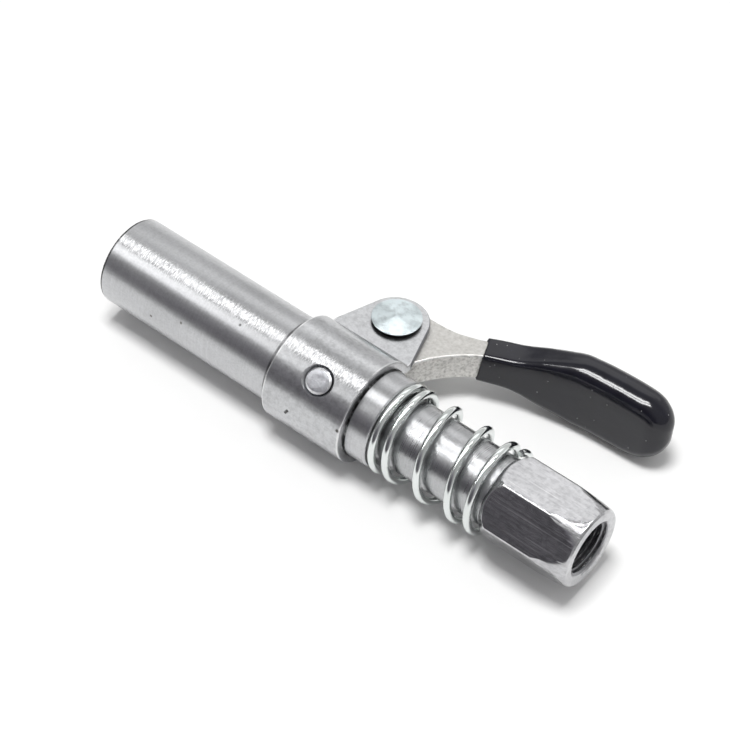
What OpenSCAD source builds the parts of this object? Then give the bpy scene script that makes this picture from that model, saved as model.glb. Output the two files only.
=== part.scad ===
// Quick-release grease coupler, lying on its side as it rests on a table.
// A spring-loaded outer sleeve closes a ring of four jaws on a grease nipple; a dipped hand
// lever on a stamped clevis collar draws the sleeve back and lets the jaws open.
// Local frame of the modules: x runs along the barrel axis from the jaw end of the sleeve,
// y points to the lever, z is the axis of the lever's rivet. place() puts that frame into the
// part's own frame: origin where the inlet thread starts, +X out of the inlet, +Z up, lever towards +Y.

/* [Overall] */
// Length from the jaw end of the sleeve to the inlet mouth
total_len = 97.5; // [97:0.25:98.5]
// Roll of the lever plane below level in the lying rest pose, degrees
rest_roll = 5; // [4:0.5:6]

/* [Outer sleeve] */
// Outside diameter of the outer sleeve
sleeve_d = 16; // [15.9:0.05:16.2]
// Length of the outer sleeve
sleeve_len = 58.4; // [58:0.1:59]
// Bore of the outer sleeve
sleeve_bore_d = 12.5; // [12.46:0.01:12.56]
// Bore of the flared mouth at the jaw end
mouth_d = 14.1; // [14:0.05:14.2]
// Length of the flared mouth
mouth_len = 4; // [3.8:0.1:4.2]

/* [Clevis collar] */
// Thickness of the collar's sheet
strap_t = 1.46; // [1.4:0.02:1.5]
// Distance of the collar's front edge from the jaw end
collar_x0 = 37.8; // [37.4:0.1:38.2]
// Width of the collar along the barrel
collar_w = 16.2; // [15.8:0.1:16.4]
// Clear gap between the two ears
ear_gap = 5.6; // [5.6:0.1:6]
// Outside radius of the rounded ear end
ear_r = 5.65; // [5.4:0.05:5.9]
// Diameter of the staked collar pins
stake_d = 5; // [4.6:0.1:5.2]

/* [Lever] */
// Distance of the rivet from the barrel axis
pivot_y = 15.8; // [15.7:0.05:15.9]
// Thickness of the bare lever blade
lever_t = 5.4; // [5.2:0.05:5.4]
// Diameter of the rivet's shank
rivet_d = 5; // [4.6:0.1:5.2]
// Diameter of the rivet's round head
rivet_head_d = 8.8; // [8.4:0.1:9]
// Thickness of the dipped grip's skin
grip_t = 0.45; // [0.4:0.05:0.55]
// Half height of the thumb paddle with its grip
paddle_h = 7.03; // [6.8:0.01:7.04]

/* [Barrel and inlet] */
// Outside diameter of the inner barrel
barrel_d = 12.4; // [12.38:0.01:12.42]
// Width across the inlet fitting's flats
hex_af = 14; // [13.9:0.05:14.2]
// Turned diameter over the hexagon's corners
hex_d = 15.9; // [15.7:0.05:16]
// Length of the inlet fitting
hex_len = 17.1; // [17:0.1:17.2]
// Bore of the inlet thread, at its crests
inlet_d = 8.8; // [8.6:0.05:9]
// Diameter of the inlet mouth
inlet_mouth_d = 10.3; // [10.1:0.05:10.5]

/* [Return spring] */
// Wire of the return spring
wire_d = 1.4; // [1.3:0.05:1.4]
// Mean coil diameter of the return spring
coil_d = 15; // [14.9:0.05:15.1]
// Turns of the return spring between its two closed ends
coil_turns = 5; // [4.5:0.25:5.5]

/* [Jaws and seal] */
// Opening of the closed jaws' hooks
hook_d = 6; // [5.9:0.05:6.2]
// Outside diameter of the nozzle seal
seal_d = 7.8; // [7.6:0.05:7.9]
// Diameter of the check ball
ball_d = 4.8; // [4.7:0.05:4.9]

/* [Hidden] */
$fn = 96;

sleeve_r = sleeve_d/2;
bore_r = sleeve_bore_d/2;
barrel_r = barrel_d/2;
hex_x = total_len - hex_len;
// start of the inlet thread, at the foot of the mouth's 45 degree lead-in
thread_x = total_len - (inlet_mouth_d - inlet_d)/2;
collar_x1 = collar_x0 + collar_w;
collar_ri = sleeve_r + 0.03;
collar_ro = collar_ri + strap_t;
ear_h = ear_gap/2 + strap_t;
pivot = [collar_x0 + collar_w/2 - 0.05, pivot_y];
// slope of the flared mouth, radius per length
flare = (mouth_d - sleeve_bore_d)/2/mouth_len;
// bend of the sheet from the round collar into the flat ear
bend_r = 1.5;
bend_c = [sqrt(pow(collar_ro + bend_r, 2) - pow(ear_h + bend_r, 2)), ear_h + bend_r];
bend_a = atan2(bend_c[1], bend_c[0]);
ear_foot = 9.4;
// toe of the lever: the round end that pushes the barrel's groove
toe_c = pivot + [3.07, -9.73];
toe_r = 1.3;
groove_x = toe_c[0] - toe_r - 0.22;
groove_r = 3.9;
// inside the inlet fitting
spigot_r = 5;
spigot_len = 6;
seat_x = hex_x + spigot_len + 1.1;
seat_r = 1.7;
web_t = 1.4;
// jaw end of the barrel
flange_x = 13.4;
heel_x = 15.0;
// distance of the jaws' rocking bead from the barrel axis
heel_r = 4.0;
stem_r = 1.9;
stem_bore_r = 1.95;
stem_bore_end = 27;
ball_x = seat_x - sqrt(pow(ball_d/2, 2) - pow(seat_r, 2)) - 0.06;

// ---------- helpers ----------
module place() translate([-thread_x, 0, 0]) rotate([-rest_roll, 0, 0]) children();
// solid of revolution about the barrel axis, from points [x, radius]
module xrev(pts) rotate([0, 90, 0]) rotate_extrude() polygon([for (p = pts) [p[1], p[0]]]);
module xcyl(r, x0, x1) translate([x0, 0, 0]) rotate([0, 90, 0]) cylinder(r = r, h = x1 - x0);
module xtube(ro, ri, x0, x1) difference() { xcyl(ro, x0, x1); xcyl(ri, x0 - 1, x1 + 1); }
module xext(x0, x1) translate([x0, 0, 0]) rotate([90, 0, 90]) linear_extrude(x1 - x0) children();
module yext(y1) translate([0, y1, 0]) rotate([90, 0, 0]) linear_extrude(y1) children();
module zext(h) translate([0, 0, -h]) linear_extrude(2*h) children();
module xring(x, rm, rt) rotate([0, 90, 0]) rotate_extrude() translate([rm, x]) circle(r = rt, $fn = 32);

function arc(c, r, a0, a1, n) = [for (i = [0:n]) let (a = a0 + (a1 - a0)*i/n) c + r*[cos(a), sin(a)]];
// smooth open curve through the points of P, n steps between neighbours
function cr(a, b, c, d, t) = 0.5*(2*b + (c - a)*t + (2*a - 5*b + 4*c - d)*t*t + (3*b - a - 3*c + d)*t*t*t);
function curve(P, n) = concat([for (i = [0:len(P) - 2], k = [0:n - 1])
    cr(P[max(i - 1, 0)], P[i], P[i + 1], P[min(i + 2, len(P) - 1)], k/n)], [P[len(P) - 1]]);
function rev(L) = [for (i = [len(L) - 1:-1:0]) L[i]];

// round wire along a helix about the barrel axis; X gives x and A the angle of each ring
module wire(X, A, rm, rw, m) {
    n = len(X);
    pts = [for (i = [0:n - 1], j = [0:m - 1]) let (a = A[i], b = 360*j/m)
        [X[i] + rw*sin(b), (rm + rw*cos(b))*cos(a), (rm + rw*cos(b))*sin(a)]];
    sides = [for (i = [0:n - 2], j = [0:m - 1], k = [0, 1])
        let (p = i*m + j, q = i*m + (j + 1)%m) k == 0 ? [p, q, p + m] : [q, q + m, p + m]];
    polyhedron(points = pts, faces = concat(sides,
        [[for (j = [m - 1:-1:0]) j]], [[for (j = [0:m - 1]) (n - 1)*m + j]]), convexity = 8);
}

// ---------- sleeve group ----------
module stakes(r0, r1, d) for (s = [1, -1]) rotate([s*130, 0, 0]) translate([collar_x0 + 8.9, r0, 0])
    rotate([-90, 0, 0]) cylinder(d = d, h = r1 - r0);

module outer_sleeve() color("gainsboro") place() difference() {
    xrev([[0, mouth_d/2], [0, sleeve_r - 0.45], [0.13, sleeve_r - 0.15], [0.45, sleeve_r],
        [sleeve_len - 0.3, sleeve_r], [sleeve_len, sleeve_r - 0.3], [sleeve_len, bore_r + 0.2],
        [sleeve_len - 0.2, bore_r], [mouth_len, bore_r]]);
    translate([pivot[0] - 3.5, 3, -ear_gap/2]) cube([10.3, 8, ear_gap]);
    stakes(4, 12, stake_d);
}

function strap_half_in() = concat([[40, ear_gap/2]],
    arc(bend_c, bend_r + strap_t, -90, bend_a - 180, 8), arc([0, 0], collar_ri, bend_a, 180, 50));
function strap_half_out() = concat([[40, ear_h]],
    arc(bend_c, bend_r, -90, bend_a - 180, 8), arc([0, 0], collar_ro, bend_a, 180, 50));
function flip(L) = [for (p = L) [p[0], -p[1]]];
function ear_tangent(A) = let (v = A - pivot, d = norm(v)) atan2(v[1], v[0]) + 360 - acos(ear_r/d);
function ear_outline() = let (t = ear_tangent([collar_x0, ear_foot])) concat(
    [[collar_x0, -20], [collar_x0, ear_foot]], arc(pivot, ear_r, t, 180 - t, 36),
    [[collar_x1, ear_foot], [collar_x1, -20]]);

module clevis_collar() color("silver") place() difference() {
    intersection() {
        xext(collar_x0, collar_x1) polygon(concat(strap_half_in(), rev(flip(strap_half_in())),
            flip(strap_half_out()), rev(strap_half_out())));
        zext(12) polygon(ear_outline());
    }
    translate([pivot[0], pivot[1], -20]) cylinder(d = rivet_d, h = 40);
    stakes(4, 12, stake_d);
}

module collar_pins() color("lightgrey") place() difference() {
    stakes(bore_r + 0.25, collar_ro - 0.22, stake_d);
    xcyl(bore_r + 0.3, 30, 60);
}

module pivot_rivet() color("azure") place() translate([pivot[0], pivot[1], 0]) union() {
    translate([0, 0, -ear_h - 0.01]) cylinder(d = rivet_d, h = 2*ear_h + 0.02);
    translate([0, 0, ear_h + 0.01]) rotate_extrude() polygon(concat([[0, 0], [rivet_head_d/2 - 0.15, 0],
        [rivet_head_d/2, 0.2], [rivet_head_d/2 - 0.1, 0.4]],
        [for (i = [1:8]) let (u = 1 - i/8) [(rivet_head_d/2 - 0.1)*u, 0.4 + 0.5*(1 - u*u)]]));
    mirror([0, 0, 1]) translate([0, 0, ear_h + 0.01]) rotate_extrude() polygon(concat([[0, 0], [4.0, 0], [4.05, 0.25]],
        [for (i = [1:8]) let (u = 1 - i/8) [4.05*u, 0.25 + 0.6*(1 - u*u)]]));
}

// ---------- lever group ----------
// edges of the blade, from the hub to the tip of the thumb paddle
blade_out = [[45.9, 21.2], [48.3, 21.4], [50.8, 21.45], [53, 21.6], [54.8, 21.95], [56.5, 22.5], [58.1, 23.1],
    [59.6, 23.9], [62.5, 25.3], [66, 26.5], [69.5, 27.6], [73, 28.75], [76, 29.5], [80, 30.05],
    [85, 30.3], [88.5, 30.2], [90.6, 29.7], [91.9, 28.8], [92.3, 27.85]];
blade_in = [[53.3, 11.1], [53.9, 12.1], [54.8, 13.6], [55.8, 15.1], [56.9, 16.45], [58, 17.6], [59.3, 18.75],
    [61.4, 20.3], [65.5, 21.9], [70, 23.25], [75, 24.5], [80, 25.15], [85, 25.4], [88.5, 25.5],
    [90.6, 26], [91.9, 26.9], [92.3, 27.85]];
// half height of the blade along x: level at the hub, flared into the paddle
blade_z = [[61, lever_t/2], [65.5, lever_t/2 + 0.1], [70.4, paddle_h - 2.9], [75.3, paddle_h - 1.75],
    [78, paddle_h - 1.65], [84.5, paddle_h - 1.65], [88, paddle_h - 1.85],
    [90, paddle_h - 2.65], [91.5, paddle_h - 3.75], [92.4, paddle_h - 4.85]];
// upright back of the toe, above the barrel, and where the hub's round meets it
toe_back = toe_c + [-toe_r, 1.6];
function hub_end() = let (d = toe_back - pivot) atan2(d[1], d[0]) - acos(5.4/norm(d));

function tail(L) = [for (i = [1:len(L) - 1]) L[i]];
module blade_2d() polygon(concat([toe_back], arc(toe_c, toe_r, -180, -20, 14), curve(blade_in, 3),
    tail(rev(curve(blade_out, 3))), tail(arc(pivot, 5.4, 90, hub_end() + 360, 24))));
// plan of the half heights: a level start at x0, then the flare
module flare_2d(x0, P) let (c = concat([[x0, P[0][1]]], curve(P, 3))) polygon(concat(c, rev(flip(c))));
module blade() intersection() {
    zext(10) blade_2d();
    yext(40) flare_2d(30, blade_z);
}
module lever() color("lightgray") place() difference() {
    blade();
    translate([pivot[0], pivot[1], -20]) cylinder(d = rivet_d + 0.1, h = 40);
}

// rounded sections of the dipped grip: outer edge x, y, inner edge x, y, half height, corner radius
skin = [[59.35, 24.35, 61.5, 19.85, lever_t/2 + grip_t, 0.85], [62.4, 25.8, 64.2, 20.95, lever_t/2 + grip_t + 0.2, 1],
    [66, 27.05, 67.4, 22, 4, 1.3], [69.6, 28.2, 70.6, 22.9, paddle_h - 1.88, 1.65],
    [73.1, 29.4, 73.6, 23.55, paddle_h - 0.68, 2.2], [76.4, 30.3, 76.6, 24.05, paddle_h - 0.13, 2.6],
    [80, 30.75, 80, 24.45, paddle_h - 0.03, 2.75], [85, 31, 85, 24.7, paddle_h, 2.8]];
// nose of the grip: its end, and the lengths over which its thickness, upper and lower half height close
nose_x = 93.9;
nose_d = 3.6;
nose_up = 5.4;
nose_down = 8.6;
function close(x, l, p) = pow(1 - pow(max(0, min(1, (x - nose_x)/l + 1)), p), 1/p);
// one section from mid point c: unit vector e across, half thickness d, half heights up and down, corner radius r
function section(c, e, d, up, down, r, k) = [for (q = [0:3], i = [0:k])
    let (sx = (q == 0 || q == 3) ? 1 : -1, sz = q < 2 ? 1 : -1, w = q < 2 ? up : down, m = min(r, 0.98*d, 0.98*w),
        a = 90*q + 90*i/k, t = sx*(d - m) + m*cos(a))
    [c[0] + e[0]*t, c[1] + e[1]*t, sz*(w - m) + m*sin(a)]];
function body_rings(k) = [for (s = curve(skin, 3)) let (o = [s[0], s[1]], n = [s[2], s[3]], d = norm(o - n))
    section((o + n)/2, (o - n)/d, d/2, s[4], s[4], s[5], k)];
function nose_rings(n, k) = [for (j = [1:n]) let (x = 85 + (nose_x - 0.03 - 85)*sin(90*j/n), f = (x - 85)/(nose_x - 85))
    section([x, 27.85 - 0.15*f], [0, 1], (3.15 - 0.4*f)*close(x, nose_d, 2), paddle_h - 0.92*nose_up*(1 - close(x, nose_up, 2)),
        paddle_h - 0.86*nose_down*(1 - close(x, nose_down, 2.2)), 2.8, k)];
// solid through rings of equal length
module loft(rings) {
    n = len(rings);
    m = len(rings[0]);
    sides = [for (i = [0:n - 2], j = [0:m - 1], k = [0, 1])
        let (p = i*m + j, q = i*m + (j + 1)%m) k == 0 ? [p, p + m, q] : [q, p + m, q + m]];
    polyhedron(points = [for (r = rings) each r], faces = concat(sides,
        [[for (j = [0:m - 1]) j]], [[for (j = [m - 1:-1:0]) (n - 1)*m + j]]), convexity = 6);
}
module lever_grip() color("dimgray") place() difference() {
    loft(concat(body_rings(4), nose_rings(9, 4)));
    blade();
}

// ---------- barrel group ----------
spring_x0 = sleeve_len + wire_d/2 + 0.03;
spring_x1 = hex_x + 0.05;
// share of the spring's length reached after a share of its turns: one closed coil at the sleeve, then open ones
coil_at = curve([[0, 0], [0.1, 0.008], [0.2, 0.067], [0.3, 0.172], [0.4, 0.336], [0.5, 0.484], [0.6, 0.636], [0.7, 0.772],
    [0.8, 0.876], [0.9, 0.939], [1, 0.993]], 4);
module main_spring() color("whitesmoke") place() {
    u = [for (i = [0:1:round((coil_turns - 0.05)*24)]) 0.1 + i/24];
    wire([for (t = u) spring_x0 + (spring_x1 - spring_x0)*max(0, lookup(t/coil_turns, coil_at))], [for (t = u) 39.4 + 360*t],
        coil_d/2, wire_d/2, 10);
}

module core_barrel() color("silver") place() difference() {
    xrev([[flange_x, 0], [flange_x, 3.8], [flange_x + 0.2, 4.0], [flange_x + 0.25, 4.0], [flange_x + 0.25, 3.5],
        [flange_x + 1.15, 3.5], [flange_x + 1.15, 4.0], [flange_x + 1.4, 4.0], [flange_x + 1.4, 3.1],
        [heel_x + 1.6, 3.1], [heel_x + 1.6, barrel_r - 0.3], [heel_x + 1.9, barrel_r],
        [groove_x, barrel_r], [groove_x, groove_r], [groove_x + 6.25, groove_r], [groove_x + 6.25 + 0.9, barrel_r],
        [hex_x - 0.02, barrel_r], [hex_x - 0.02, spigot_r], [hex_x + spigot_len, spigot_r], [hex_x + spigot_len, 0]]);
    xcyl(stem_bore_r, flange_x - 1, stem_bore_end);
    xcyl(1.5, stem_bore_end - 1, hex_x);
    xcyl(2.9, hex_x - 3.4, hex_x + spigot_len + 1);
}

module inlet_fitting() color("lavender") place() difference() {
    intersection() {
        translate([hex_x - 1, 0, 0]) rotate([28, 0, 0]) rotate([0, 90, 0])
            cylinder(r = hex_af/2/cos(30), h = hex_len + 2, $fn = 6);
        xrev([[hex_x, 0], [hex_x, hex_d/2 - 1.4], [hex_x + 1.9, hex_d/2], [total_len - 6, hex_d/2],
            [total_len - 0.3, 7.0], [total_len, 6.75], [total_len, 0]]);
    }
    xcyl(spigot_r + 0.02, hex_x - 1, seat_x);
    xcyl(seat_r, seat_x - 1, seat_x + web_t + 1);
    xcyl(inlet_d/2, seat_x + web_t, total_len + 1);
    xrev([[thread_x, inlet_d/2], [total_len + 0.001, inlet_mouth_d/2], [total_len + 1, inlet_mouth_d/2],
        [total_len + 1, 0], [thread_x, 0]]);
}

module sealing_washer() color("peru") place()
    xtube(spigot_r - 0.05, 3.0, hex_x + spigot_len + 0.03, seat_x - 0.03);

module check_ball() color("white") place() translate([ball_x, 0, 0]) sphere(d = ball_d);

module check_spring() color("whitesmoke") place() {
    u = [for (i = [0:84]) i/84];
    wire([for (t = u) hex_x - 3.1 + (ball_x - 2.2 - hex_x + 3.1)*t], [for (t = u) 360*6*t], 1.55, 0.25, 8);
}

// ---------- jaw end ----------
module jaw_expander_ring() color("black") place() xring(flange_x + 0.7, 4.08, 0.43);

// a jaw: hooked segment that rocks on the straight round bead under its heel
module jaw(k) color("darkgray") place() rotate([90*k + rest_roll, 0, 0]) intersection() {
    union() {
        xrev([[0.25, hook_d/2 + 0.8], [0.25, mouth_d/2 - 0.25*flare - 0.12], [mouth_len, bore_r - 0.12],
            [mouth_len, 5.75], [heel_x + 1.4, 6.1], [heel_x + 1.4, heel_r], [heel_x, heel_r], [heel_x, 4.7],
            [2.8, 4.7], [1.8, hook_d/2], [1.05, hook_d/2]]);
        intersection() {
            translate([heel_x + 0.7, heel_r, 0]) cylinder(r = 0.66, h = 20, center = true);
            xcyl(5.6, heel_x - 1, heel_x + 3);
        }
    }
    xext(-1, 20) polygon([[0.3, 0], [12, 11.7], [12, -11.7]]);
}
module jaw_1() jaw(0);
module jaw_2() jaw(1);
module jaw_3() jaw(2);
module jaw_4() jaw(3);

module nozzle_seal() color("black") place()
    xrev([[6.4, 3.3], [6.4, seal_d/2 - 0.3], [6.7, seal_d/2], [11, seal_d/2], [11, 1.1], [8.4, 1.1]]);

module seal_piston() color("goldenrod") place()
    xrev([[11.03, 0.9], [11.03, 3.8], [12.1, 3.8], [12.1, stem_r], [15.6, stem_r], [15.6, 1.3], [16.6, 1.3],
        [16.6, stem_r], [18.6, stem_r], [18.6, 0.9]]);

module stem_o_ring() color("black") place() xring(16.1, 1.61, 0.3);

module seal_spring() color("whitesmoke") place() {
    u = [for (i = [0:112]) i/112];
    wire([for (t = u) 18.88 + (stem_bore_end - 0.28 - 18.88)*t], [for (t = u) 360*8*t], 1.4, 0.22, 8);
}

outer_sleeve();
clevis_collar();
collar_pins();
pivot_rivet();
lever();
lever_grip();
main_spring();
core_barrel();
inlet_fitting();
sealing_washer();
check_ball();
check_spring();
jaw_expander_ring();
jaw_1();
jaw_2();
jaw_3();
jaw_4();
nozzle_seal();
seal_piston();
stem_o_ring();
seal_spring();
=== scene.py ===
import math

import bmesh
import bpy
import numpy as np
from mathutils import Matrix, Vector


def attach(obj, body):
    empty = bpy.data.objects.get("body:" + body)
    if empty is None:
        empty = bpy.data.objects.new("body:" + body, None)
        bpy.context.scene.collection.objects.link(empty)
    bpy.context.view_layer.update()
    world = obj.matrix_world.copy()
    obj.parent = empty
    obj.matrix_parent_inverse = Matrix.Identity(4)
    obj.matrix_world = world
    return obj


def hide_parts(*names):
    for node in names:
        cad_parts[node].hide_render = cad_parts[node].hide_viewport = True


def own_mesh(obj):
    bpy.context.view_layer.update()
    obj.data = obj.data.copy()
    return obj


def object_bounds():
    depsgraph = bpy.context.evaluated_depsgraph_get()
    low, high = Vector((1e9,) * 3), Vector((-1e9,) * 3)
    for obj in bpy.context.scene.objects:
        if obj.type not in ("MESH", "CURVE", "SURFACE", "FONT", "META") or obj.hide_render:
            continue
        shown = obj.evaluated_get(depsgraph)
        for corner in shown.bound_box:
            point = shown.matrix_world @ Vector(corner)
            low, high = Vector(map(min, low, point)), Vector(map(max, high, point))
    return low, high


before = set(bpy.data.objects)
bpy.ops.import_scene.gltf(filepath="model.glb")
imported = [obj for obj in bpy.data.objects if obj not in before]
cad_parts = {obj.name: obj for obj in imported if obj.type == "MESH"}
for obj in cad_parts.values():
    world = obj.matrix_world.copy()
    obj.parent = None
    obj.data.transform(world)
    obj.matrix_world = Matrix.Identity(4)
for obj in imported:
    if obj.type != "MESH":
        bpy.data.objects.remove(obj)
cad_lo, cad_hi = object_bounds()
scene = bpy.context.scene

# ------------------------------------------------------------------ frame
# Shapes are worked out in the coupler's own millimetres: x along the barrel from the jaw end,
# y towards the lever, z along the rivet. place() turns them into the row frame, in metres.
X0 = 96.75
ROLL = math.radians(5.0)
CR, SR = math.cos(ROLL), math.sin(ROLL)


def place(P):
    P = np.asarray(P, float).reshape(-1, 3)
    return np.c_[P[:, 0] - X0, P[:, 1] * CR + P[:, 2] * SR, -P[:, 1] * SR + P[:, 2] * CR] / 1000.0


# ------------------------------------------------------------------ mesh helpers
def smoothed(me, angle=32.0):
    for p in me.polygons:
        p.use_smooth = True
    me.set_sharp_from_angle(angle=math.radians(angle))


def add_mesh(name, verts, faces, uvs=None, angle=32.0, tidy=True):
    """A mesh object from millimetre points in the coupler's frame; uvs is one (u, v) list per face."""
    me = bpy.data.meshes.new(name)
    me.from_pydata([tuple(v) for v in np.asarray(verts, float)], [], [tuple(int(i) for i in f) for f in faces])
    if uvs is not None:
        layer = me.uv_layers.new(name="UVMap")
        flat = [c for f in uvs for c in f]
        layer.data.foreach_set("uv", np.array(flat, np.float32).ravel())
    if tidy:
        bm = bmesh.new()
        bm.from_mesh(me)
        bmesh.ops.remove_doubles(bm, verts=bm.verts, dist=1e-5)
        bmesh.ops.dissolve_degenerate(bm, edges=bm.edges, dist=1e-6)
        bmesh.ops.recalc_face_normals(bm, faces=bm.faces)
        bm.to_mesh(me)
        bm.free()
    ob = bpy.data.objects.new(name, me)
    scene.collection.objects.link(ob)
    smoothed(me, angle)
    return ob


def settle(ob):
    """Moves a finished mesh from the coupler's millimetres into the row frame."""
    me = ob.data
    co = np.zeros(len(me.vertices) * 3, np.float32)
    me.vertices.foreach_get("co", co)
    me.vertices.foreach_set("co", place(co.reshape(-1, 3)).astype(np.float32).ravel())
    me.update()
    return ob


def baked(ob, mods, angle=32.0):
    """Adds the modifiers, keeps the result as the object's own mesh and drops them."""
    for kind, props in mods:
        m = ob.modifiers.new(kind, kind)
        for k, v in props.items():
            setattr(m, k, v)
    dg = bpy.context.evaluated_depsgraph_get()
    dg.update()
    me = bpy.data.meshes.new_from_object(ob.evaluated_get(dg))
    old = ob.data
    ob.modifiers.clear()
    ob.data = me
    bpy.data.meshes.remove(old)
    smoothed(me, angle)
    return ob


def cut(ob, *tools, mode="DIFFERENCE", angle=32.0):
    for t in tools:
        baked(ob, [("BOOLEAN", {"object": t, "operation": mode, "solver": "EXACT"})], angle)
    for t in tools:
        me = t.data
        bpy.data.objects.remove(t)
        bpy.data.meshes.remove(me)
    return ob


def fillet(pts, seg=5, closed=True):
    """Rounds the corners of a polyline of (a, b, radius); a corner with radius 0 stays sharp."""
    out, n = [], len(pts)
    for i, p in enumerate(pts):
        c, r = np.array(p[:2], float), (p[2] if len(p) > 2 else 0.0)
        if r <= 0 or (not closed and i in (0, n - 1)):
            out.append(tuple(c))
            continue
        a, b = np.array(pts[i - 1][:2], float), np.array(pts[(i + 1) % n][:2], float)
        u, v = a - c, b - c
        lu, lv = np.linalg.norm(u), np.linalg.norm(v)
        u, v = u / lu, v / lv
        half = math.acos(max(-1, min(1, float(u @ v)))) / 2
        if half > math.radians(89):
            out.append(tuple(c))
            continue
        t = min(r / math.tan(half), 0.48 * lu, 0.48 * lv)
        r = t * math.tan(half)
        p0, p1 = c + u * t, c + v * t
        m = c + (u + v) / np.linalg.norm(u + v) * (r / math.sin(half))
        a0 = math.atan2(*(p0 - m)[::-1])
        a1 = math.atan2(*(p1 - m)[::-1])
        d = (a1 - a0 + math.pi) % (2 * math.pi) - math.pi
        for k in range(seg + 1):
            a = a0 + d * k / seg
            out.append((m[0] + r * math.cos(a), m[1] + r * math.sin(a)))
    return out


def revolve(name, pts, n=160, seg=5, a0=0.0, a1=360.0, angle=32.0):
    """A closed ring or plug about the barrel axis from (x, radius[, corner radius]) points."""
    prof = fillet(pts, seg)
    m = len(prof)
    full = abs(a1 - a0 - 360) < 1e-6
    k = n if full else n + 1
    ang = np.radians(a0 + (a1 - a0) * np.arange(k) / n)
    verts = [(x, r * math.cos(a), r * math.sin(a)) for a in ang for x, r in prof]
    run = np.r_[0, np.cumsum(np.linalg.norm(np.diff(np.array(prof + prof[:1]), axis=0), axis=1))]
    faces, uvs = [], []
    for j in range(n):
        j1 = (j + 1) % k
        for i in range(m):
            i1 = (i + 1) % m
            if prof[i][1] < 1e-9 and prof[i1][1] < 1e-9:
                continue
            faces.append((j * m + i, j * m + i1, j1 * m + i1, j1 * m + i))
            u0, u1, v0, v1 = run[i] / 20, run[i + 1] / 20, j / n, (j + 1) / n
            uvs.append([(u0, v0), (u1, v0), (u1, v1), (u0, v1)])
    if not full:
        faces.append(tuple(range(m)))
        faces.append(tuple((k - 1) * m + i for i in range(m))[::-1])
        uvs += [[(x / 20, r / 20) for x, r in prof], [(x / 20, r / 20) for x, r in prof][::-1]]
    ob = add_mesh(name, verts, faces, uvs, angle)
    return ob


def torus(name, x, rm, rt, n=120, m=24):
    return revolve(name, [(x + rt * math.cos(2 * math.pi * i / m), rm + rt * math.sin(2 * math.pi * i / m)) for i in range(m)], n, angle=60)


def wire(name, X, A, rm, rw, m=20, ends=None):
    """Round wire along a helix about the barrel axis. ends gives the scale of the section at each ring."""
    X, A = np.asarray(X, float), np.radians(np.asarray(A, float))
    er = np.c_[np.zeros_like(A), np.cos(A), np.sin(A)]
    C = np.c_[X, rm * np.cos(A), rm * np.sin(A)]
    T = np.gradient(C, axis=0)
    T /= np.linalg.norm(T, axis=1)[:, None]
    B = np.cross(T, er)
    B /= np.linalg.norm(B, axis=1)[:, None]
    b = 2 * math.pi * np.arange(m) / m
    k = np.ones((len(X), m)) if ends is None else ends
    V = C[:, None] + rw * k[..., None] * (np.cos(b)[None, :, None] * er[:, None] + np.sin(b)[None, :, None] * B[:, None])
    n = len(X)
    run = np.r_[0, np.cumsum(np.linalg.norm(np.diff(C, axis=0), axis=1))]
    faces, uvs = [], []
    for i in range(n - 1):
        for j in range(m):
            j1 = (j + 1) % m
            faces.append((i * m + j, i * m + j1, (i + 1) * m + j1, (i + 1) * m + j))
            u0, u1, v0, v1 = run[i] / 20, run[i + 1] / 20, j / m, (j + 1) / m
            uvs.append([(u0, v0), (u0, v1), (u1, v1), (u1, v0)])
    faces += [tuple(range(m))[::-1], tuple((n - 1) * m + j for j in range(m))]
    uvs += [[(0, j / m) for j in range(m)][::-1], [(run[-1] / 20, j / m) for j in range(m)]]
    return add_mesh(name, V.reshape(-1, 3), faces, uvs, 50)


def arc(c, r, a0, a1, n):
    a = np.radians(np.linspace(a0, a1, n + 1))
    return [(c[0] + r * math.cos(t), c[1] + r * math.sin(t)) for t in a]


def curve(P, n):
    P, out = np.array(P, float), []
    for i in range(len(P) - 1):
        a, b, c, d = P[max(i - 1, 0)], P[i], P[i + 1], P[min(i + 2, len(P) - 1)]
        for k in range(n):
            t = k / n
            out.append(tuple(0.5 * (2 * b + (c - a) * t + (2 * a - 5 * b + 4 * c - d) * t * t + (3 * b - a - 3 * c + d) * t ** 3)))
    return out + [tuple(P[-1])]


def even(P, step):
    """The polyline at about equal steps."""
    P = np.array(P, float)
    s = np.r_[0, np.cumsum(np.linalg.norm(np.diff(P, axis=0), axis=1))]
    t = np.linspace(0, s[-1], max(2, int(round(s[-1] / step)) + 1))
    return np.c_[np.interp(t, s, P[:, 0]), np.interp(t, s, P[:, 1])]


def plate(name, outline, h0, h1, r, seg=4):
    """A flat plate over a closed outline of (a, b) points, from height h0 to h1, with rounded rims."""
    bm = bmesh.new()
    low = [bm.verts.new((a, b, h0)) for a, b in outline]
    f = bm.faces.new(low)
    got = bmesh.ops.extrude_face_region(bm, geom=[f])
    for v in got["geom"]:
        if isinstance(v, bmesh.types.BMVert):
            v.co.z = h1
    bmesh.ops.recalc_face_normals(bm, faces=bm.faces)
    rim = [e for e in bm.edges if abs(e.verts[0].co.z - e.verts[1].co.z) < 1e-9]
    bmesh.ops.bevel(bm, geom=rim, offset=r, segments=seg, profile=0.5, affect="EDGES", clamp_overlap=True)
    me = bpy.data.meshes.new(name)
    bm.to_mesh(me)
    bm.free()
    ob = bpy.data.objects.new(name, me)
    scene.collection.objects.link(ob)
    return ob


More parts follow.
